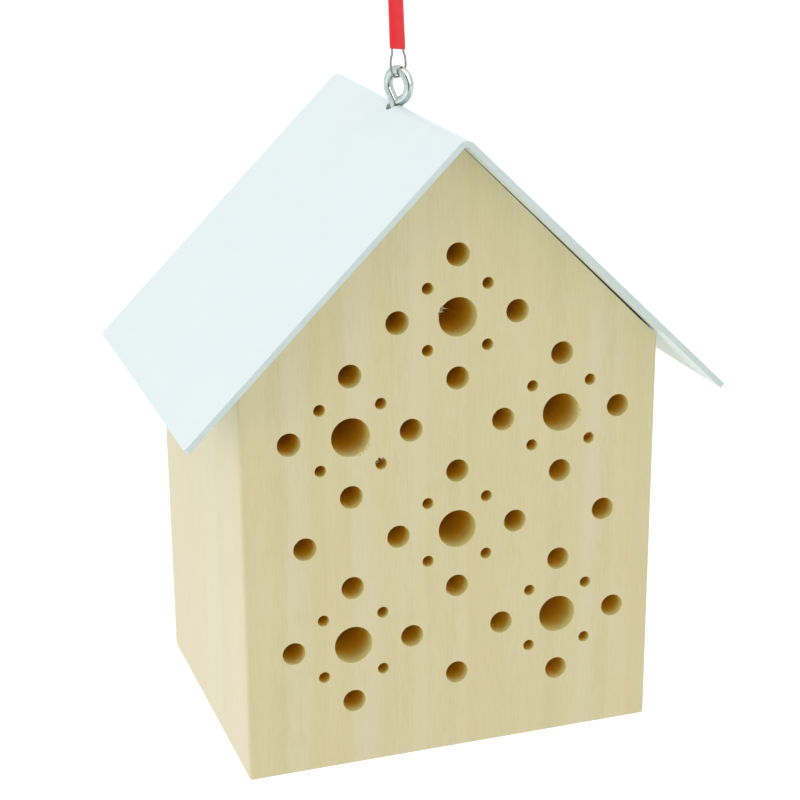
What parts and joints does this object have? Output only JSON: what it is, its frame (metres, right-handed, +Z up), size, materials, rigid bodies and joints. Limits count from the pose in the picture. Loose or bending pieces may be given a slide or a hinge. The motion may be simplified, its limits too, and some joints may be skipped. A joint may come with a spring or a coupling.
{
  "type": "bee hotel",
  "caption": "Hanging bee hotel: a gabled wooden block with drilled nest tunnels, a bent sheet roof and a screw eye in a loop of steel wire.",
  "frame": {"origin": "the inside of the hanger wire's top loop, where it rests on its hook", "axes": "+Z up, +Y from the front face with the tunnels' mouths towards the back, +X to the right seen from the front"},
  "size_m": [0.1414, 0.102, 0.2067],
  "materials": {
    "wood": "sanded, unfinished",
    "roof_paint": "satin white paint",
    "eye_steel": "bright zinc plating",
    "wire_steel": "drawn steel wire",
    "sleeve_plastic": "glossy soft tube",
    "ferrule_metal": "crimped"
  },
  "bodies": {
    "hanger": {"hanger_wire": "wire_steel", "crimp_ferrule": "ferrule_metal"},
    "sleeve": {"hanger_sleeve": "sleeve_plastic"},
    "house": {"house_block": "wood", "roof_sheet": "roof_paint", "screw_eye": "eye_steel"}
  },
  "joints": [
    {"name": "house_swing", "type": "hinge", "parent": "hanger", "child": "house", "pos_m": [0.00137, 0.00061, -0.03437], "axis": [0.4067, -0.9135, 0], "range_deg": [-75, 75]},
    {"name": "sleeve_slide", "type": "slide", "parent": "hanger", "child": "sleeve", "axis": [-0.0398, -0.0177, 0.999], "range_m": [0, 0.002]}
  ]
}
